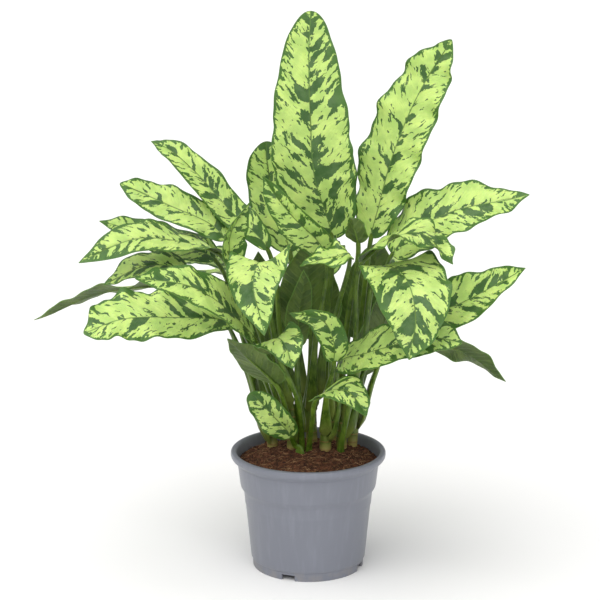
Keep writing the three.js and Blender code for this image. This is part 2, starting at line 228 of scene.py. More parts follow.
def revolve(rings, sides):
    """A disc extruded up and out through the rings, which stays closed at both ends."""
    radius, height = rings[0]
    nothing_selected()
    disc = {"vertices": sides, "radius": radius, "location": (0, 0, height)}
    bpy.ops.mesh.primitive_circle_add(fill_type="NGON", **disc)
    turned = bpy.context.object
    bpy.ops.object.transform_apply(location=True, rotation=False, scale=False)
    bpy.ops.object.mode_set(mode="EDIT")
    bpy.ops.mesh.select_all(action="SELECT")
    for wider, higher in rings[1:]:
        rise = (0, 0, higher - height)
        bpy.ops.mesh.extrude_region_move(TRANSFORM_OT_translate={"value": rise})
        share = wider / radius
        bpy.ops.transform.resize(value=(share, share, 1), center_override=(0, 0, higher))
        radius, height = wider, higher
    bpy.ops.mesh.select_all(action="SELECT")
    bpy.ops.mesh.normals_make_consistent(inside=False)
    bpy.ops.object.mode_set(mode="OBJECT")
    return turned


def on_circle(radius, turn, height):
    return (radius * math.cos(turn), radius * math.sin(turn), height)


def cut_away(piece, cutter):
    apply_modifier(piece, "BOOLEAN", object=cutter, operation="DIFFERENCE", solver="EXACT")
    only(cutter)
    bpy.ops.object.delete()


def nursery_pot():
    pot = revolve(POT_OUTSIDE + POT_INSIDE, POT_SIDES)
    for number in range(NOTCHES):
        turn = math.radians(NOTCH_TURN + 360 / NOTCHES * number)
        middle = on_circle(NOTCH_CIRCLE, turn, NOTCH_HEIGHT - NOTCH_SIZE[2] / 2)
        nothing_selected()
        bpy.ops.mesh.primitive_cube_add(size=1, location=middle, rotation=(0, 0, turn))
        bpy.context.object.scale = NOTCH_SIZE
        cut_away(pot, bpy.context.object)
    drain = {"vertices": DRAIN_SIDES, "radius": DRAIN_RADIUS, "depth": DRAIN_DEPTH}
    for number in range(DRAINS):
        middle = on_circle(DRAIN_CIRCLE, 2 * math.pi * number / DRAINS, DRAIN_MIDDLE)
        nothing_selected()
        bpy.ops.mesh.primitive_cylinder_add(location=middle, **drain)
        cut_away(pot, bpy.context.object)
    sharp = math.radians(POT_EDGE_SHARPER_THAN)
    edges = {"limit_method": "ANGLE", "angle_limit": sharp, "use_clamp_overlap": True}
    apply_modifier(pot, "BEVEL", width=POT_EDGE_ROUND, segments=2, **edges)
    pot.data.materials.append(pot_plastic())
    smooth(pot, 32)
    hand_over(pot, "pot")


nursery_pot()


# ---------------------------------------------------------------- peat
# Moist brown peat packed round the roots: a low crumbly mound a finger's width
# below the rim, with loose crumbs and pale root and wood fibres on it.

PEAT_AROUND = 320
PEAT_TOP_ROWS = 76
PEAT_EDGE = (0.0754, 0.120)
PEAT_CROWN = 0.1272
PEAT_BODY = [
    (0, 0.0022), (0.017, 0.0022), (0.021, 0.0092), (0.058, 0.0092), (0.060, 0.0112),
    (0.067, 0.072), (0.068, 0.084), (0.0718, 0.093), (0.0750, 0.1165),
]
PEAT_LUMPS = 0.0015
PEAT_CLODS = 0.0011
PEAT_GRIT = 0.0005
PEAT_SETTLED = 0.0007
PEAT_TONES = (0.036, 0.014, 0.008), (0.150, 0.055, 0.026)
PEAT_PALE_GRAIN = (0.33, 0.17, 0.085)
# Painted shade: the near-black colour for the hollows between the crumbs.
PEAT_GAP_SHADE = (0.018, 0.010, 0.007)
CRUMB_COUNT = 1500
CRUMB_REACH = 0.0738
CRUMB_TONES = (0.060, 0.024, 0.013), (0.19, 0.080, 0.042)
FIBRE_COUNT = 420
FIBRE_REACH = 0.072
FIBRE_STEPS = 6
FIBRE_TONES = (0.22, 0.115, 0.055), (0.45, 0.27, 0.14)
ANY_TURN = (0, 6.28)


def peat_height(x, y):
    across = math.hypot(x, y) / PEAT_EDGE[0]
    mound = PEAT_EDGE[1] + (PEAT_CROWN - PEAT_EDGE[1]) * (1 - across ** 2.2)
    place = Vector((x, y, 0.0))
    lumps = PEAT_LUMPS * noise.fractal(place * 75, 0.8, 2.0, 3)
    clods = PEAT_CLODS * noise.fractal(place * 260, 0.7, 2.1, 3)
    grit = PEAT_GRIT * noise.noise(place * 900)
    return mound + lumps + clods + grit - PEAT_SETTLED


def grid(across, along):
    nothing_selected()
    bpy.ops.mesh.primitive_grid_add(x_subdivisions=across, y_subdivisions=along, size=2)
    return bpy.context.object


def rolled_sheet(across, along, place):
    """A grid whose points are set by place(side, row), where side runs from -1 to 1 round it."""
    sheet = grid(across, along)
    for vertex in sheet.data.vertices:
        row = round((vertex.co.y + 1) / 2 * along)
        vertex.co = place(vertex.co.x, row)
    return sheet


def peat_finish(name, low, high):
    finish, start, shader = new_finish(name)
    place = start.object_place()
    coarse = place.grain(190.0, 4.0, 0.65)
    fine = place.grain(850.0, 3.0, 0.6)
    shade = coarse.rise(0.34, 0.68).between(low, high)
    shade = (fine.rise(0.56, 0.74) * 0.55).between(shade, PEAT_PALE_GRAIN)
    # Painted shade: the low points of the fine grain, which the relief sinks into hollows, are
    # darkened almost to black.
    shade = (fine.rise(0.46, 0.34) * 0.7).between(shade, PEAT_GAP_SHADE)
    wire(shade, shader, "Base Color")
    wire(0.98 - coarse * 0.2, shader, "Roughness")
    relief(fine + coarse, shader, 0.0006, 0.8)
    shader.inputs["Specular IOR Level"].default_value = 0.25
    return finish


def scattered(count, dice, make):
    """One mesh of many small bodies, each made by make(dice) as points and faces."""
    points, faces = [], []
    for _ in range(count):
        own_points, own_faces = make(dice)
        shift = len(points)
        points.extend(own_points)
        faces.extend([tuple(shift + index for index in face) for face in own_faces])
    mesh = bpy.data.meshes.new("scatter")
    mesh.from_pydata(points, [], faces)
    mesh.update()
    scatter = bpy.data.objects.new("scatter", mesh)
    bpy.context.collection.objects.link(scatter)
    return scatter


def peat_point(out, turn):
    x, y, _ = on_circle(out, turn, 0)
    return Vector((x, y, peat_height(x, y)))


def on_the_peat(dice, reach):
    turn = dice.uniform(0, 2 * math.pi)
    return peat_point(reach * math.sqrt(dice.random()), turn)


def crumb_shape():
    nothing_selected()
    bpy.ops.mesh.primitive_ico_sphere_add(subdivisions=1, radius=1)
    seed = bpy.context.object
    spots = [vertex.co for vertex in seed.data.vertices]
    points = [spot * (1 + 0.35 * noise.noise(spot * 1.7)) for spot in spots]
    faces = [tuple(face.vertices) for face in seed.data.polygons]
    bpy.ops.object.delete()
    return points, faces


def crumb(dice, shape):
    points, faces = shape
    size = 0.0006 + 0.0014 * dice.random() ** 3
    spin = Matrix.Rotation(dice.uniform(*ANY_TURN), 3, "Z")
    spin = spin @ Matrix.Rotation(dice.uniform(*ANY_TURN), 3, "X")
    stretch = Vector((size * dice.uniform(0.8, 1.6), size, size * dice.uniform(0.5, 0.9)))
    seat = on_the_peat(dice, CRUMB_REACH)
    return [spin @ (point * stretch) + seat for point in points], faces


def fibre(dice):
    seat = on_the_peat(dice, FIBRE_REACH)
    length = dice.uniform(0.003, 0.013)
    start_turn = dice.uniform(0, 2 * math.pi)
    bend = dice.uniform(-1.4, 1.4)
    thick = dice.uniform(0.00012, 0.00034)
    points, faces = [], []
    for step in range(FIBRE_STEPS + 1):
        share = step / FIBRE_STEPS
        turn = start_turn + bend * share
        spot = seat + Vector((math.cos(turn), math.sin(turn), 0)) * length * share
        arch = 0.0003 + 0.0009 * math.sin(math.pi * share) * abs(bend)
        slim = thick * (1.15 - share)
        side = Vector((-math.sin(turn), math.cos(turn), 0)) * slim
        middle = Vector((spot.x, spot.y, peat_height(spot.x, spot.y) + arch))
        points += [middle + side, middle + Vector((0, 0, slim * 1.6)), middle - side]
    for step in range(FIBRE_STEPS):
        for corner in range(3):
            here, there = step * 3 + corner, step * 3 + (corner + 1) % 3
            faces.append((here + 3, there + 3, there, here))
    last = FIBRE_STEPS * 3
    return points, [*faces, (0, 1, 2), (last + 2, last + 1, last)]


def join(pieces):
    only(pieces[0])
    for piece in pieces:
        piece.select_set(True)
    bpy.ops.object.join()
    return bpy.context.object


def peat():
    body_rows = len(PEAT_BODY)
    rows = body_rows - 1 + PEAT_TOP_ROWS

    def place(side, row):
        turn = math.pi * side
        if row < body_rows:
            out, height = PEAT_BODY[row]
            return Vector(on_circle(out, turn, height))
        return peat_point(PEAT_EDGE[0] * (1 - (row - body_rows) / (rows - body_rows)), turn)

    ground = rolled_sheet(PEAT_AROUND, rows, place)
    only(ground)
    bpy.ops.object.mode_set(mode="EDIT")
    bpy.ops.mesh.select_all(action="SELECT")
    bpy.ops.mesh.remove_doubles(threshold=1e-6)
    bpy.ops.mesh.normals_make_consistent(inside=False)
    bpy.ops.object.mode_set(mode="OBJECT")
    ground.data.materials.append(peat_finish("peat", *PEAT_TONES))
    dice = random.Random(11)
    shape = crumb_shape()
    crumbs = scattered(CRUMB_COUNT, dice, lambda thrown: crumb(thrown, shape))
    crumbs.data.materials.append(peat_finish("peat_crumbs", *CRUMB_TONES))
    fibres = scattered(FIBRE_COUNT, dice, fibre)
    fibres.data.materials.append(peat_finish("peat_fibres", *FIBRE_TONES))
    whole = join([ground, crumbs, fibres])
    smooth(whole, 50)
    hand_over(whole, "soil")


peat()


# ---------------------------------------------------------------- canes
# Short fleshy canes that the stalks clasp, green above and yellow at the peat,
# ringed by the scars of fallen leaves. They stand in the peat.

CANES = {
    "cane_left": {"foot": (-0.04, 0.034), "top": (-0.047, 0.035, 0.166), "radius": 0.006},
    "cane_left_front": {"foot": (-0.017, 0.02), "top": (-0.02, 0.019, 0.182), "radius": 0.0065},
    "cane_back": {"foot": (0.004, 0.05), "top": (0.003, 0.052, 0.192), "radius": 0.0065},
    "cane_front": {"foot": (0.019, 0.015), "top": (0.02, 0.012, 0.176), "radius": 0.0065},
    "cane_right": {"foot": (0.037, 0.027), "top": (0.04, 0.026, 0.184), "radius": 0.006},
    "cane_right_back": {"foot": (0.05, 0.042), "top": (0.057, 0.046, 0.166), "radius": 0.0055},
    "cane_back_right": {"foot": (0.028, 0.06), "top": (0.029, 0.063, 0.186), "radius": 0.0055},
}
CANE_AROUND = 20
CANE_ROWS = 60
CANE_FLOOR = 0.108
CANE_TAPER = 0.2
CANE_CROWN = 0.12
SCAR_SPACING = 0.009
SCAR_SWELL = 0.035
CANE_GREENS = (0.090, 0.150, 0.018), (0.190, 0.260, 0.040)
CANE_FOOT_YELLOW = (0.42, 0.36, 0.11)
CANE_SCAR = (0.40, 0.24, 0.085)
PEAT_TOP = 0.1275
# The surface maps hold metres times ten, which MAP_TO_MM turns into millimetres.
MAP_SCALE = 10
MAP_TO_MM = 100.0


def spline(points, share):
    """A point on the centripetal Catmull-Rom curve through the points, at a share of its spans."""
    spans = len(points) - 1
    span = min(int(share * spans), spans - 1)
    along = share * spans - span
    ends = [points[0] * 2 - points[1], *points, points[-1] * 2 - points[-2]]
    before, start, end, after = ends[span:span + 4]
    pairs = ((before, start), (start, end), (end, after))
    lead, gap, follow = [math.sqrt((b - a).length) for a, b in pairs]
    leave = (start - before) / lead - (end - before) / (lead + gap) + (end - start) / gap
    reach = (end - start) / gap - (after - start) / (gap + follow) + (after - end) / follow
    leave, reach = leave * gap, reach * gap
    square, cube = along ** 2, along ** 3
    return (
        start + leave * along + (3 * (end - start) - 2 * leave - reach) * square
        + (2 * (start - end) + leave + reach) * cube
    )


def heading(points, share):
    low, high = max(share - 1e-4, 0), min(share + 1e-4, 1)
    return (spline(points, high) - spline(points, low)).normalized()


def cane_radius(spec, height):
    share = (height - PEAT_TOP) / (spec["top"][2] - PEAT_TOP)
    return spec["radius"] * (1 - CANE_TAPER * min(max(share, 0), 1))


def put_map(piece, name, value_at):
    """A UV map whose value at each point comes from value_at(point's index)."""
    layer = piece.data.uv_layers.new(name=name)
    for loop in piece.data.loops:
        layer.data[loop.index].uv = value_at(loop.vertex_index)


def drop_first_map(piece):
    piece.data.uv_layers.remove(piece.data.uv_layers[0])


def close_roll(piece):
    """Joins the seam of a rolled sheet, closes its ends and turns its faces outwards."""
    only(piece)
    bpy.ops.object.mode_set(mode="EDIT")
    bpy.ops.mesh.select_mode(type="VERT")
    bpy.ops.mesh.select_all(action="SELECT")
    bpy.ops.mesh.remove_doubles(threshold=2e-6)
    bpy.ops.mesh.select_all(action="DESELECT")
    bpy.ops.mesh.select_non_manifold()
    bpy.ops.mesh.edge_face_add()
    bpy.ops.mesh.select_all(action="SELECT")
    bpy.ops.mesh.normals_make_consistent(inside=False)
    bpy.ops.object.mode_set(mode="OBJECT")


def cane_skin():
    finish, start, shader = new_finish("cane_skin")
    along = start.surface_map("lamina").parts()[1]
    place = start.object_place()
    height = place.parts()[2]
    mottle = place.grain(120.0, 3.0)
    rings = along * (2 * math.pi / (SCAR_SPACING * MAP_SCALE)) + mottle * 1.6
    scar = rings.sine().rise(0.86, 0.97)
    shade = mottle.rise(0.35, 0.65).between(*CANE_GREENS)
    shade = height.rise(0.138, 0.124).between(shade, CANE_FOOT_YELLOW)
    shade = (scar * 0.75).between(shade, CANE_SCAR)
    wire(shade, shader, "Base Color")
    wire(mottle * 0.3 + 0.25, shader, "Roughness")
    relief(scar + place.grain(700.0) * 0.3, shader, 0.0003)
    return finish


def cane(node, spec, finish):
    foot = Vector((*spec["foot"], CANE_FLOOR))
    axis = [foot, Vector((*spec["foot"], PEAT_TOP + 0.002)), Vector(spec["top"])]

    def place(side, row):
        share = row / CANE_ROWS
        middle = spline(axis, share)
        ring = math.sin(2 * math.pi * middle.z / SCAR_SPACING)
        radius = cane_radius(spec, middle.z) * (1 + SCAR_SWELL * max(ring, 0) ** 3)
        crown = min((1 - share) / CANE_CROWN, 1)
        radius *= math.sqrt(1 - (1 - crown) ** 2)
        return middle + Vector(on_circle(radius, math.pi * side, 0))

    stem = rolled_sheet(CANE_AROUND, CANE_ROWS, place)
    heights = [vertex.co.z for vertex in stem.data.vertices]
    put_map(stem, "lamina", lambda index: (0, heights[index] * MAP_SCALE))
    drop_first_map(stem)
    close_roll(stem)
    stem.data.materials.append(finish)
    smooth(stem, 60)
    hand_over(stem, node)


skin = cane_skin()
for node, spec in CANES.items():
    cane(node, spec, skin)


# ---------------------------------------------------------------- leaves
# Each leaf grew as one: a channelled stalk that clasps its cane with a broad sheath
# and runs on as the midrib under a thin blade. The blade is pale yellow-green with
# dark green feathering along its veins and a dark margin, and plain green beneath.

# foot is where the stalk leaves its cane (cane, degrees, height) or the peat (x, y);
# knee is a point on the stalk; midrib runs from the blade's base to its tip; face is
# the way the upper surface looks; fold lifts the margins; twist rolls the blade in
# degrees; shape says how fast the blade widens from its base and narrows to its tip.
LEAVES = {
    "leaf_crown_tall": {
        "foot": ("cane_back", 320, 0.176), "knee": (0.02, 0.032, 0.27),
        "midrib": [
            (0.025, 0.022, 0.365), (0.005, 0.01, 0.43), (0.002, 0.004, 0.505),
            (0.002, 0.012, 0.606),
        ],
        "face": (0.05, -1, 0.1), "width": 0.085, "fold": 0.12, "shape": (0.36, 0.48),
    },
    "leaf_crown_right": {
        "foot": ("cane_right", 60, 0.168), "knee": (0.058, 0.034, 0.27),
        "midrib": [
            (0.068, 0.03, 0.361), (0.083, 0.03, 0.427), (0.104, 0.025, 0.486),
            (0.129, 0.02, 0.54), (0.15, 0.015, 0.576),
        ],
        "face": (-0.45, -0.85, 0.2), "width": 0.07, "fold": 0.12, "shape": (0.42, 0.62),
    },
    "leaf_right_upper": {
        "foot": ("cane_right", 15, 0.152), "knee": (0.074, 0.02, 0.26),
        "midrib": [(0.09, 0.01, 0.347), (0.148, -0.005, 0.395), (0.232, -0.02, 0.417)],
        "face": (-0.15, -0.65, 0.75), "width": 0.074, "fold": 0.12,
    },
    "leaf_right_arch": {
        "foot": ("cane_right", 290, 0.16), "knee": (0.05, -0.014, 0.26),
        "midrib": [(0.057, -0.034, 0.349), (0.113, -0.065, 0.386), (0.148, -0.08, 0.355)],
        "face": (0, -0.2, 1), "width": 0.06, "fold": 0.1,
    },
    "leaf_front_right": {
        "foot": (0.036, 0.008), "knee": (0.058, -0.016, 0.245),
        "midrib": [
            (0.072, -0.04, 0.341), (0.091, -0.076, 0.348), (0.103, -0.112, 0.333),
            (0.108, -0.13, 0.303), (0.101, -0.134, 0.268),
        ],
        "face": (0.12, -0.8, 0.6), "width": 0.084, "fold": 0.12, "shape": (0.42, 0.75),
    },
    "leaf_right_middle": {
        "foot": ("cane_right_back", 320, 0.146), "knee": (0.072, 0.002, 0.214),
        "midrib": [(0.099, -0.035, 0.284), (0.16, -0.055, 0.308), (0.223, -0.075, 0.35)],
        "face": (-0.25, -0.6, 0.75), "width": 0.07, "fold": 0.14,
    },
    "leaf_right_low": {
        "foot": ("cane_front", 330, 0.14), "knee": (0.033, -0.003, 0.185),
        "midrib": [
            (0.032, -0.012, 0.229), (0.061, -0.058, 0.256), (0.094, -0.084, 0.273),
            (0.129, -0.1, 0.282), (0.156, -0.11, 0.279),
        ],
        "face": (-0.2, -0.55, 0.8), "width": 0.06, "fold": 0.12, "shape": (0.45, 0.6),
    },
    "leaf_right_back_low": {
        "foot": ("cane_right_back", 10, 0.15), "knee": (0.07, 0.042, 0.196),
        "midrib": [(0.09, 0.032, 0.233), (0.162, 0.042, 0.234), (0.22, 0.045, 0.195)],
        "face": (0.35, 0.6, 0.7), "width": 0.05, "fold": 0.1,
    },
    "leaf_small_right_low": {
        "foot": (0.001, 0.006), "knee": (0.004, -0.022, 0.168),
        "midrib": [(0.009, -0.052, 0.204), (0.038, -0.084, 0.223), (0.06, -0.098, 0.198)],
        "face": (0.15, -0.5, 0.85), "width": 0.048, "fold": 0.1,
    },
    "leaf_small_left_low": {
        "foot": (-0.01, 0.002), "knee": (-0.014, 0.002, 0.134),
        "midrib": [(-0.019, -0.004, 0.146), (-0.039, -0.02, 0.178), (-0.063, -0.028, 0.203)],
        "face": (-0.4, -0.85, 0.4), "width": 0.035, "fold": 0.3, "shape": (0.4, 0.42),
    },
    "leaf_crown_narrow": {
        "foot": ("cane_back", 270, 0.16), "knee": (0.008, 0.018, 0.25),
        "midrib": [(0.019, -0.01, 0.345), (-0.016, -0.03, 0.395), (-0.048, -0.04, 0.44)],
        "face": (-0.55, -0.55, 0.6), "width": 0.038, "fold": 0.4,
    },
    "leaf_crown_back": {
        "foot": ("cane_back", 170, 0.18), "knee": (-0.014, 0.056, 0.26),
        "midrib": [(-0.02, 0.06, 0.339), (-0.04, 0.07, 0.401), (-0.046, 0.075, 0.46)],
        "face": (-0.1, -0.9, 0.3), "width": 0.055, "fold": 0.15, "shape": (0.4, 0.5),
    },
    "leaf_small_left_upright": {
        "foot": ("cane_left_front", 160, 0.17), "knee": (-0.052, 0.006, 0.26),
        "midrib": [(-0.079, -0.015, 0.339), (-0.083, -0.025, 0.375), (-0.062, -0.02, 0.409)],
        "face": (0.6, -0.6, 0.4), "width": 0.032, "fold": 0.6,
    },
    "leaf_front_left": {
        "foot": ("cane_left_front", 255, 0.176), "knee": (-0.035, -0.01, 0.25),
        "midrib": [
            (-0.049, -0.04, 0.34), (-0.052, -0.068, 0.354), (-0.055, -0.1, 0.332),
            (-0.045, -0.125, 0.291),
        ],
        "face": (0.05, -0.85, 0.5), "width": 0.062, "fold": 0.12,
    },
    "leaf_left_front_low": {
        "foot": ("cane_left_front", 238, 0.146), "knee": (-0.038, -0.02, 0.205),
        "midrib": [(-0.057, -0.05, 0.269), (-0.111, -0.105, 0.334), (-0.174, -0.13, 0.351)],
        "face": (0.1, -0.6, 0.8), "width": 0.056, "fold": 0.12,
    },
    "leaf_left_long": {
        "foot": ("cane_left", 278, 0.156), "knee": (-0.064, 0.012, 0.26),
        "midrib": [
            (-0.095, 0, 0.349), (-0.131, -0.005, 0.363), (-0.183, -0.025, 0.372),
            (-0.241, -0.04, 0.348),
        ],
        "face": (-0.05, -0.45, 0.9), "width": 0.056, "fold": 0.1, "twist": -70,
    },
    "leaf_left_upper": {
        "foot": ("cane_left", 168, 0.158), "knee": (-0.066, 0.033, 0.26),
        "midrib": [(-0.089, 0.025, 0.36), (-0.152, 0.035, 0.398), (-0.204, 0.04, 0.419)],
        "face": (0.2, -0.75, 0.65), "width": 0.044, "fold": 0.12, "shape": (0.4, 0.55),
    },
    "leaf_left_high": {
        "foot": ("cane_left_front", 118, 0.172), "knee": (-0.031, 0.029, 0.26),
        "midrib": [
            (-0.044, 0.03, 0.348), (-0.087, 0.04, 0.39), (-0.123, 0.05, 0.43),
            (-0.153, 0.058, 0.456), (-0.171, 0.06, 0.462),
        ],
        "face": (0.45, -0.7, 0.55), "width": 0.042, "fold": 0.12, "shape": (0.42, 0.85),
    },
    "leaf_left_back_upper": {
        "foot": ("cane_left", 122, 0.142), "knee": (-0.072, 0.044, 0.246),
        "midrib": [(-0.102, 0.045, 0.333), (-0.169, 0.06, 0.355), (-0.23, 0.065, 0.373)],
        "face": (0.1, -0.5, 0.85), "width": 0.05, "fold": 0.12,
    },
    "leaf_left_under": {
        "foot": ("cane_left", 236, 0.132), "knee": (-0.072, 0.003, 0.24),
        "midrib": [(-0.127, -0.005, 0.328), (-0.174, -0.015, 0.34), (-0.218, -0.02, 0.32)],
        "face": (-0.1, -0.4, 0.9), "width": 0.05, "fold": 0.1,
    },
    "leaf_left_back_long": {
        "foot": ("cane_left", 195, 0.134), "knee": (-0.069, 0.021, 0.218),
        "midrib": [(-0.112, 0.02, 0.3), (-0.208, 0.03, 0.304), (-0.301, 0.035, 0.268)],
        "face": (-0.1, 0.42, 0.9), "width": 0.05, "fold": 0.1,
    },
    "leaf_left_low": {
        "foot": ("cane_left_front", 200, 0.15), "knee": (-0.05, -0.011, 0.22),
        "midrib": [
            (-0.078, -0.045, 0.283), (-0.148, -0.085, 0.301), (-0.193, -0.098, 0.3),
            (-0.23, -0.105, 0.288),
        ],
        "face": (-0.05, -0.55, 0.85), "width": 0.072, "fold": 0.12, "shape": (0.55, 0.6),
    },
    "leaf_left_low_turned": {
        "foot": ("cane_left_front", 278, 0.136), "knee": (-0.024, -0.012, 0.178),
        "midrib": [(-0.035, -0.033, 0.214), (-0.061, -0.053, 0.246), (-0.085, -0.063, 0.272)],
        "face": (0.3, 0.75, 0.6), "width": 0.045, "fold": 0.12,
    },
    "leaf_front_small": {
        "foot": (-0.007, 0.011), "knee": (-0.012, -0.024, 0.195),
        "midrib": [
            (-0.034, -0.06, 0.257), (-0.033, -0.075, 0.276), (-0.025, -0.09, 0.271),
            (-0.016, -0.095, 0.248),
        ],
        "face": (0.1, -0.8, 0.6), "width": 0.05, "fold": 0.1,
    },
    "leaf_front_middle": {
        "foot": ("cane_front", 265, 0.148), "knee": (0.02, -0.018, 0.2),
        "midrib": [(0.027, -0.042, 0.241), (0.016, -0.064, 0.291), (-0.02, -0.082, 0.304)],
        "face": (-0.4, -0.85, 0.3), "width": 0.031, "fold": 0.15,
    },
    "leaf_right_turned": {
        "foot": ("cane_right", 337, 0.14), "knee": (0.057, 0.019, 0.192),
        "midrib": [(0.059, 0.012, 0.211), (0.076, 0.006, 0.258), (0.098, -0.004, 0.316)],
        "face": (-0.3, 0.85, 0.35), "width": 0.048, "fold": 0.12, "shape": (0.5, 0.6),
    },
    "leaf_middle_flat": {
        "foot": ("cane_front", 300, 0.164), "knee": (0.027, -0.012, 0.27),
        "midrib": [(0.042, -0.043, 0.358), (0.026, -0.05, 0.358), (-0.009, -0.056, 0.348)],
        "face": (0.1, -0.25, 0.95), "width": 0.044, "fold": 0.1,
    },
    "leaf_crown_bud": {
        "foot": ("cane_back_right", 290, 0.17), "knee": (0.044, 0.02, 0.28),
        "midrib": [(0.053, -0.005, 0.362), (0.044, -0.003, 0.39)],
        "face": (0.2, 0.8, 0.5), "width": 0.026, "fold": 0.3,
    },
    "leaf_left_back_far": {
        "foot": ("cane_left", 78, 0.15), "knee": (-0.06, 0.056, 0.24),
        "midrib": [(-0.076, 0.07, 0.319), (-0.116, 0.095, 0.325), (-0.156, 0.11, 0.317)],
        "face": (0, -0.3, 0.95), "width": 0.044, "fold": 0.1,
    },
    "leaf_back_left": {
        "foot": ("cane_back", 120, 0.15), "knee": (-0.03, 0.074, 0.23),
        "midrib": [(-0.05, 0.09, 0.29), (-0.105, 0.15, 0.3), (-0.16, 0.2, 0.265)],
        "face": (-0.2, 0.2, 0.95), "width": 0.066, "fold": 0.12,
    },
    "leaf_back_middle": {
        "foot": ("cane_back", 80, 0.16), "knee": (0.008, 0.078, 0.24),
        "midrib": [(0.01, 0.1, 0.3), (0.002, 0.17, 0.325), (-0.01, 0.25, 0.29)],
        "face": (0, 0.2, 0.95), "width": 0.076, "fold": 0.12,
    },
    "leaf_back_right": {
        "foot": ("cane_back_right", 60, 0.15), "knee": (0.044, 0.078, 0.23),
        "midrib": [(0.056, 0.092, 0.29), (0.11, 0.15, 0.31), (0.165, 0.195, 0.27)],
        "face": (0.2, 0.2, 0.95), "width": 0.066, "fold": 0.12,
    },
    "leaf_back_upright": {
        "foot": ("cane_back_right", 120, 0.168), "knee": (0.026, 0.072, 0.26),
        "midrib": [(0.025, 0.078, 0.35), (0.024, 0.1, 0.43), (0.018, 0.15, 0.5)],
        "face": (0, -0.85, 0.5), "width": 0.062, "fold": 0.12,
    },
    "leaf_centre_back": {
        "foot": ("cane_back", 215, 0.14), "knee": (0.002, 0.042, 0.205),
        "midrib": [(0.003, 0.04, 0.245), (0.002, 0.042, 0.3), (-0.001, 0.046, 0.356)],
        "face": (0, 0.95, 0.2), "width": 0.07, "fold": 0.1,
    },
    "leaf_centre_left": {
        "foot": ("cane_left", 20, 0.138), "knee": (-0.036, 0.042, 0.2),
        "midrib": [(-0.041, 0.044, 0.236), (-0.048, 0.047, 0.29), (-0.055, 0.05, 0.342)],
        "face": (-0.1, 0.95, 0.2), "width": 0.044, "fold": 0.1,
    },
    "leaf_centre_right": {
        "foot": ("cane_back_right", 15, 0.14), "knee": (0.055, 0.056, 0.2),
        "midrib": [(0.059, 0.056, 0.24), (0.069, 0.058, 0.3), (0.08, 0.06, 0.352)],
        "face": (0.1, 0.95, 0.2), "width": 0.066, "fold": 0.1,
    },
    "leaf_centre_front": {
        "foot": ("cane_left_front", 20, 0.14), "knee": (-0.012, 0.007, 0.21),
        "midrib": [(-0.012, 0.006, 0.245), (-0.009, 0.003, 0.29), (-0.005, 0, 0.332)],
        "face": (0.1, 0.95, 0.1), "width": 0.028, "fold": 0.15,
    },
}
USUAL_SHAPE = (0.42, 0.78)
LEAST_OUTLINE = 0.02
BLUNT_TIP = 0.5
DRAWN_OUT_TIP = 0.30
TIP_REACH = 0.09
BLADE_ACROSS = 30
BLADE_ALONG = 110
BLADE_THICKNESS = 0.0006
VEIN_SPACING = 0.0085
VEIN_LEAN = 0.85
QUILTING = 0.00022
RIB_GROOVE = 0.0009
RIB_GROOVE_WIDTH = 0.0022
RIPPLE_LENGTH = 0.055
RIPPLE_IN_OUTLINE = 0.025
MARGIN_SLOW_LIFT = 0.0012
MIDRIB_DRIFT = 0.0016
USUAL_WAVE = 0.0016
# How far a blade's margins wave, where it isn't the usual.
WAVES = {
    "leaf_crown_right": 0.0042, "leaf_right_arch": 0.0046, "leaf_front_right": 0.0036,
    "leaf_middle_flat": 0.0036, "leaf_front_left": 0.0030, "leaf_right_upper": 0.0030,
    "leaf_left_low": 0.0034, "leaf_left_upper": 0.0028,
}
# Where the margin at one side stands up in a fold: share of the length, spread and height.
FLAPS = {
    "leaf_front_left": (0.17, 0.10, 0.020), "leaf_front_small": (0.20, 0.12, 0.010),
    "leaf_left_back_long": (0.42, 0.07, -0.007), "leaf_right_back_low": (0.55, 0.10, -0.006),
}
NO_FLAP = (0.5, 0.1, 0)
STALK_RADIUS = 0.0031
STALK_END_RADIUS = 0.0022
STALK_FULLNESS = 1.22
STALK_AROUND = 14
STALK_ROWS = 26
TOUCH_GAP = 0.0007
SHEATH_SPREAD = 0.95
SHEATH_LENGTH = 0.40
SHEATH_TIP = 0.35
SHEATH_DROP = 0.004
CLASP_DEPTH = 0.003
KEEL_ROWS = 22
KEEL_LENGTH = 0.94
KEEL_FULLNESS = 0.92
KEEL_LEAST = 0.00025
PALE_GREENS = (0.46, 0.65, 0.170), (0.63, 0.82, 0.230)
PALE_LINES = (0.42, 0.62, 0.150)
DEEP_GREENS = (0.040, 0.115, 0.018), (0.080, 0.165, 0.045)
DEEP_EDGE = (0.070, 0.190, 0.015)
MIDRIB_GREEN = (0.10, 0.21, 0.035)
UNDER_GREENS = (0.050, 0.100, 0.006), (0.105, 0.162, 0.022)
UNDER_PATCH = (0.040, 0.080, 0.010)
UNDER_VEIN = (0.16, 0.24, 0.045)
UNDER_EDGE = (0.11, 0.22, 0.03)
STALK_GREENS = (0.044, 0.098, 0.004), (0.112, 0.196, 0.014)
STALK_STRAND = (0.21, 0.32, 0.040)
SHEATH_PALE = (0.28, 0.34, 0.075)


def point_on_cane(name, direction, height):
    spec = CANES[name]
    share = (height - PEAT_TOP) / (spec["top"][2] - PEAT_TOP)
    reach = cane_radius(spec, height) + STALK_RADIUS + TOUCH_GAP
    x, y = [low + (high - low) * share for low, high in zip(spec["foot"], spec["top"])]
    return Vector((x, y, 0)) + Vector(on_circle(reach, math.radians(direction), height))


def eased(share, low, high):
    share = min(max((share - low) / (high - low), 0), 1)
    return share * share * (3 - 2 * share)


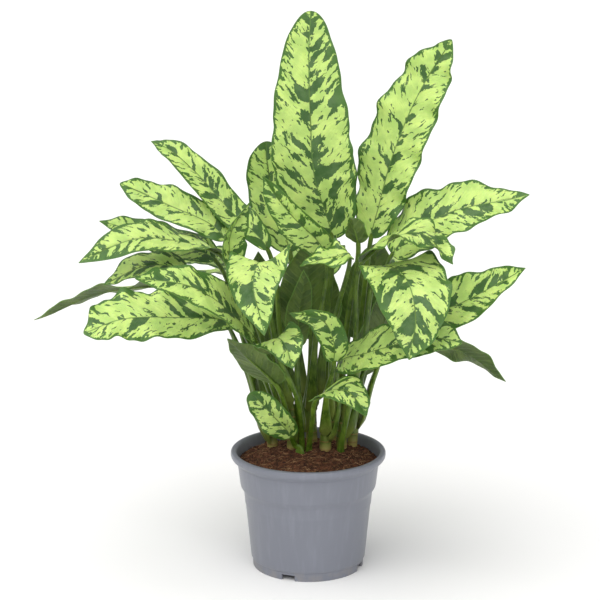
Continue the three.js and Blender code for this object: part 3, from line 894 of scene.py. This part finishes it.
def outline(along, leaf):
    """Share of a blade's full width at a share of its length."""
    rising, falling = leaf.get("shape", USUAL_SHAPE)
    widest = rising / (rising + falling)
    most = widest ** rising * (1 - widest) ** falling
    share = along ** rising * (1 - along) ** falling / most
    if falling > BLUNT_TIP:
        share *= 1 - DRAWN_OUT_TIP * math.exp(-((1 - along) / TIP_REACH) ** 2)
    return max(share, LEAST_OUTLINE)


class Leaf:
    """One leaf's curve, and at each place on it the ways forward, aside and up."""

    def __init__(self, leaf, seed):
        self.leaf = leaf
        self.dice = random.Random(seed)
        foot = leaf["foot"]
        if len(foot) == 3:
            start = [point_on_cane(*foot)]
            inward = Vector((*CANES[foot[0]]["foot"], 0)) - Vector((*start[0].xy, 0))
            self.clasp = inward.normalized() * CLASP_DEPTH
        else:
            start = [Vector((*foot, CANE_FLOOR)), Vector((*foot, PEAT_TOP + 0.004))]
            self.clasp = Vector((0, 0, 0))
        self.points = [*start, Vector(leaf["knee"]), *(Vector(p) for p in leaf["midrib"])]
        self.base = (len(start) + 1) / (len(self.points) - 1)
        midway = heading(self.points, self.base + 0.5 * (1 - self.base))
        self.across = Vector(leaf["face"]).cross(midway).normalized()

    def stand(self, share, along):
        middle = spline(self.points, share)
        forward = heading(self.points, share)
        side = (self.across - forward * self.across.dot(forward)).normalized()
        roll = math.radians(self.leaf.get("twist", 0) * (along - 0.5))
        side = Matrix.Rotation(roll, 3, forward) @ side
        return middle, forward, side, forward.cross(side)

    def blade_stand(self, along):
        return self.stand(self.base + along * (1 - self.base), along)


def blade(course, node, seed):
    leaf, width = course.leaf, course.leaf["width"]
    rows, length = [], 0
    for row in range(BLADE_ALONG + 1):
        along = (1 - math.cos(math.pi * row / BLADE_ALONG)) / 2
        middle, _, side, up = course.blade_stand(along)
        if rows:
            length += (middle - rows[-1][1]).length
        rows.append((along, middle, side, up, length))
    phases = [course.dice.uniform(*ANY_TURN) for _ in range(6)]
    wave = WAVES.get(node, USUAL_WAVE) * min(width / 0.055, 1.2)
    flap_place, flap_spread, flap_height = FLAPS.get(node, NO_FLAP)
    ripples = max(2.0, length / RIPPLE_LENGTH)

    def sway(cycles, phase):
        return math.sin(2 * math.pi * cycles + phases[phase])

    def place(along, middle, side, up, run, u):
        hand = 0 if u < 0 else 1
        rim = abs(u)
        beat = sway(ripples * along * (1.0 + 0.18 * hand), hand)
        beat += 0.45 * sway(ripples * 2.3 * along, 2 + hand)
        body = eased(along, 0.02, 0.16) * eased(along, 1.0, 0.86)
        half = width / 2 * outline(along, leaf) * (1 + RIPPLE_IN_OUTLINE * beat * body)
        out = half * rim
        vein = math.sin(2 * math.pi * (run - VEIN_LEAN * out) / VEIN_SPACING)
        lift = leaf["fold"] * out - RIB_GROOVE * math.exp(-(out / RIB_GROOVE_WIDTH) ** 2) * body
        lift += wave * body * beat * rim ** 2.4
        lift += QUILTING * vein * body * math.sin(math.pi * rim) * min(width / 0.06, 1)
        if hand == 0:
            flap = math.exp(-((along - flap_place) / flap_spread) ** 2)
            lift += flap_height * flap * rim ** 1.6
        lift += MARGIN_SLOW_LIFT * body * sway(1.3 * along, 4) * rim
        drift = MIDRIB_DRIFT * body * sway(0.9 * along, 5)
        return middle + side * (-math.copysign(out, u) + drift) + up * lift, half - out

    # lamina maps how far across and along the blade a point lies, and reach how far it
    # is from the margin and at what share of the length.
    sheet = grid(BLADE_ACROSS, BLADE_ALONG)
    lamina, reach = [], []
    for vertex in sheet.data.vertices:
        u = vertex.co.x
        row = rows[round((vertex.co.y + 1) / 2 * BLADE_ALONG)]
        half = width / 2 * outline(row[0], leaf)
        vertex.co, spare = place(*row, u)
        lamina.append((u * half * MAP_SCALE, row[4] * MAP_SCALE + seed * 10))
        reach.append((spare * MAP_SCALE, row[0]))
    put_map(sheet, "lamina", lambda index: lamina[index])
    put_map(sheet, "reach", lambda index: reach[index])
    drop_first_map(sheet)
    for finish in BLADE_FINISHES:
        sheet.data.materials.append(finish)
    sides = {"offset": 0, "material_offset": 1, "material_offset_rim": 1}
    apply_modifier(sheet, "SOLIDIFY", thickness=BLADE_THICKNESS, **sides)
    return sheet


def stalk(course):
    """The sheath and stalk, which run on under the blade as the midrib's keel."""
    rows = []
    for row in range(STALK_ROWS + 1):
        share = row / STALK_ROWS
        middle, forward, side, up = course.stand(share * course.base, 0)
        radius = STALK_FULLNESS * (STALK_RADIUS + (STALK_END_RADIUS - STALK_RADIUS) * share)
        broad = 1 + SHEATH_SPREAD * (1 - eased(share, 0.0, 0.45))
        sheath = 1 - eased(share, 0.0, SHEATH_LENGTH)
        middle = middle + course.clasp * (1 - eased(share, 0.0, 0.10))
        if row == 0 and course.clasp.length:
            radius *= SHEATH_TIP
            middle = middle - forward * SHEATH_DROP
        rows.append((middle, side, up, radius, broad, sheath))
    slimness = KEEL_FULLNESS * min(course.leaf["width"] / 0.05, 1)
    for row in range(1, KEEL_ROWS + 1):
        along = row / KEEL_ROWS * KEEL_LENGTH
        middle, _, side, up = course.blade_stand(along)
        radius = max(STALK_END_RADIUS * slimness * (1 - along) ** 1.1, KEEL_LEAST)
        sink = radius * 0.75 + BLADE_THICKNESS * (1 - along)
        rows.append((middle - up * sink * eased(along, 0, 0.05), side, up, radius, 1, 0))

    def place(side_share, row):
        middle, side, up, radius, broad, sheath = rows[row]
        turn = math.pi * side_share
        out = radius * broad * math.cos(turn)
        rise = radius * 0.95 * math.sin(turn)
        if rise > 0:
            rise *= 0.45 + 0.35 * abs(math.cos(turn))
        rise += sheath * abs(out) * 0.45
        return middle + side * out + up * rise

    def lamina(index):
        row, around = divmod(index, STALK_AROUND + 1)
        return around * 0.01, row * 0.05

    def reach(index):
        return 0.0, min(index // (STALK_AROUND + 1) / STALK_ROWS, 1.0)

    stem = rolled_sheet(STALK_AROUND, STALK_ROWS + KEEL_ROWS, place)
    put_map(stem, "lamina", lamina)
    put_map(stem, "reach", reach)
    drop_first_map(stem)
    close_roll(stem)
    stem.data.materials.append(STALK_FINISH)
    return stem


def vein_lines(sheet, side, run):
    """A measure that stays the same along each side vein, as the veins lean forward."""
    slow = sheet.grain(0.10, 2.0) - 0.5
    quick = sheet.grain(0.75, 2.0) - 0.5
    return run - side * 0.8 - side * side * 0.004 + slow * 9.0 + quick * 2.2


def glow_through(shader):
    """Light that passes through the thin blade and comes out lime green."""
    shader.inputs["Subsurface Weight"].default_value = 0.25
    shader.inputs["Subsurface Radius"].default_value = (0.6, 1.0, 0.12)
    shader.inputs["Subsurface Scale"].default_value = 0.002


def blade_upper():
    finish, start, shader = new_finish("blade_upper")
    lamina = start.surface_map("lamina")
    reach = start.surface_map("reach")
    sheet = lamina.scaled(MAP_TO_MM)
    across, run, _ = sheet.parts()
    rim, share, _ = reach.scaled(MAP_TO_MM).parts()
    side = abs(across)
    hand = across.above(0.0)
    vein = vein_lines(sheet, side, run)
    edge_ward = rim.rise(15.0, 2.0)
    near_rib = side.rise(15.0, 0.0)
    tip_ward = share.rise(86.0, 100.0)
    crumble = start.vector(vein * 0.42, side * 0.31, hand * 4.1).grain(1.0, 2.0, 0.6) - 0.5
    patch = start.vector(vein * 0.080, side * 0.043, hand * 7.3).grain(1.0, 1.5, 0.5)
    mood = start.vector(0.0, run * 0.0013, 0.5).grain(1.0, 0.0) - 0.5
    spread = patch + crumble * 0.21 + near_rib * 0.090 + mood * 0.08
    patches = (spread + tip_ward * 0.02).rise(0.594, 0.601)
    fleck = start.vector(vein * 0.20, side * 0.125, hand * 3.1).grain(1.0, 1.5, 0.5)
    flecks = (fleck + crumble * 0.14 + edge_ward * 0.08 + mood * 0.06).rise(0.640, 0.648)
    toothed = start.vector(vein * 0.17, side * 0.08, hand * 2.3).grain(1.0, 2.5, 0.6)
    margin = (rim - toothed * 10.0 + 2.5).rise(0.25, -0.25)
    dark = patches.most(flecks).most(margin)
    rib = side.rise(0.9, 0.45)

    tone = sheet.grain(0.06, 3.0)
    light = tone.rise(0.35, 0.65).between(*PALE_GREENS)
    lines = start.vector(vein * 0.9, side * 0.02, hand).grain(1.0, 2.0).rise(0.40, 0.62)
    light = (lines * 0.30).between(light, PALE_LINES)
    deep = tone.rise(0.40, 0.62).between(*DEEP_GREENS)
    deep = (edge_ward * 0.55).between(deep, DEEP_EDGE)
    shade = dark.between(light, deep)
    shade = (rib * 0.8).between(shade, MIDRIB_GREEN)
    wire(shade, shader, "Base Color")
    wire(0.44 - dark * 0.10 + sheet.grain(0.3, 2.0) * 0.12, shader, "Roughness")
    cells = sheet.grain(2.6, 2.0)
    relief(lines * 0.8 + cells * 0.5 - dark * 0.25, shader, 0.00022)
    shader.inputs["Specular IOR Level"].default_value = 0.5
    glow_through(shader)
    return finish


def blade_under():
    finish, start, shader = new_finish("blade_under")
    lamina = start.surface_map("lamina")
    reach = start.surface_map("reach")
    sheet = lamina.scaled(MAP_TO_MM)
    across, run, _ = sheet.parts()
    rim = reach.scaled(MAP_TO_MM).parts()[0]
    side = abs(across)
    hand = across.above(0.0)
    vein = vein_lines(sheet, side, run)
    patch = start.vector(vein * 0.072, side * 0.034, hand * 7.3).grain(1.0, 1.5, 0.5)
    patches = (patch + side.rise(15.0, 0.0) * 0.085).rise(0.53, 0.58)
    ridges = (vein * (2 * math.pi / (VEIN_SPACING * 1000))).sine().rise(0.55, 1.0)
    shade = sheet.grain(0.05, 3.0).rise(0.3, 0.7).between(*UNDER_GREENS)
    shade = (patches * 0.55).between(shade, UNDER_PATCH)
    shade = (ridges * 0.25).between(shade, UNDER_VEIN)
    shade = rim.rise(1.6, 0.4).between(shade, UNDER_EDGE)
    wire(shade, shader, "Base Color")
    wire(sheet.grain(0.3) * 0.2 + 0.42, shader, "Roughness")
    relief(ridges + sheet.grain(1.8) * 0.4, shader, 0.0003)
    glow_through(shader)
    return finish


def stalk_skin():
    finish, start, shader = new_finish("stalk_skin")
    place = start.object_place()
    reach = start.surface_map("reach")
    share = reach.parts()[1]
    strands = place.stretched(1, 1, 0.06).grain(620.0, 2.0)
    mottle = place.grain(60.0, 3.0)
    shade = mottle.rise(0.35, 0.65).between(*STALK_GREENS)
    shade = (strands.rise(0.5, 0.68) * 0.45).between(shade, STALK_STRAND)
    shade = (share.rise(0.22, 0.0) * 0.65).between(shade, SHEATH_PALE)
    wire(shade, shader, "Base Color")
    wire(mottle * 0.2 + 0.27, shader, "Roughness")
    relief(strands, shader, 0.00018)
    return finish


BLADE_FINISHES = [blade_upper(), blade_under()]
STALK_FINISH = stalk_skin()
for seed, (node, leaf) in enumerate(LEAVES.items(), 1):
    course = Leaf(leaf, seed)
    whole = join([blade(course, node, seed), stalk(course)])
    smooth(whole, 70)
    hand_over(whole, node)


# ---------------------------------------------------------------- floor, light and camera
# A plain pale floor under an even sky, with a broad soft light from above and a weaker
# one from the front. The camera stands a little higher than the crown and looks down.

FLOOR_SIZE = 60
FLOOR_TONES = (0.96, 0.96, 0.96), (0.98, 0.98, 0.98)
SKY_STRENGTH = 0.42
# Each light's place, softness in degrees, strength and colour.
LIGHTS = {
    "key": ((-0.30, -0.42, 1.1), 85, 2.65, (1.0, 0.99, 0.97)),
    "front": ((0.5, -1.3, 0.45), 40, 0.40, (0.97, 0.98, 1.0)),
}
CAMERA_PLACE = (-0.009, -1.909, 0.743)
CAMERA_DOWN = 13.1
CAMERA_LENS = 109.3
CAMERA_FILM = 36


def pale_floor():
    finish, start, shader = new_finish("pale_floor")
    wire(start.object_place().grain(0.4).between(*FLOOR_TONES), shader, "Base Color")
    shader.inputs["Roughness"].default_value = 0.9
    shader.inputs["Specular IOR Level"].default_value = 0.1
    return finish


def studio():
    nothing_selected()
    bpy.ops.mesh.primitive_plane_add(size=FLOOR_SIZE, location=(0, 0, 0))
    floor = bpy.context.object
    floor.name = "floor"
    floor.data.materials.append(pale_floor())

    sky = bpy.data.worlds.new("studio")
    sky.use_nodes = True
    backdrop = sky.node_tree.nodes["Background"]
    backdrop.inputs["Color"].default_value = (1, 1, 1, 1)
    backdrop.inputs["Strength"].default_value = SKY_STRENGTH
    bpy.context.scene.world = sky

    for name, (place, softness, power, colour) in LIGHTS.items():
        lamp = bpy.data.lights.new(name, "SUN")
        lamp.angle, lamp.energy, lamp.color = math.radians(softness), power, colour
        holder = bpy.data.objects.new(name, lamp)
        holder.location = place
        holder.rotation_euler = (-Vector(place)).to_track_quat("-Z", "Y").to_euler()
        bpy.context.collection.objects.link(holder)

    lens = bpy.data.cameras.new("camera")
    lens.lens = CAMERA_LENS
    lens.sensor_width = CAMERA_FILM
    lens.clip_end = 50
    camera = bpy.data.objects.new("camera", lens)
    camera.location = CAMERA_PLACE
    camera.rotation_euler = (math.radians(90 - CAMERA_DOWN), 0, 0)
    bpy.context.collection.objects.link(camera)
    bpy.context.scene.camera = camera
    bpy.context.scene.view_settings.view_transform = "Standard"


studio()
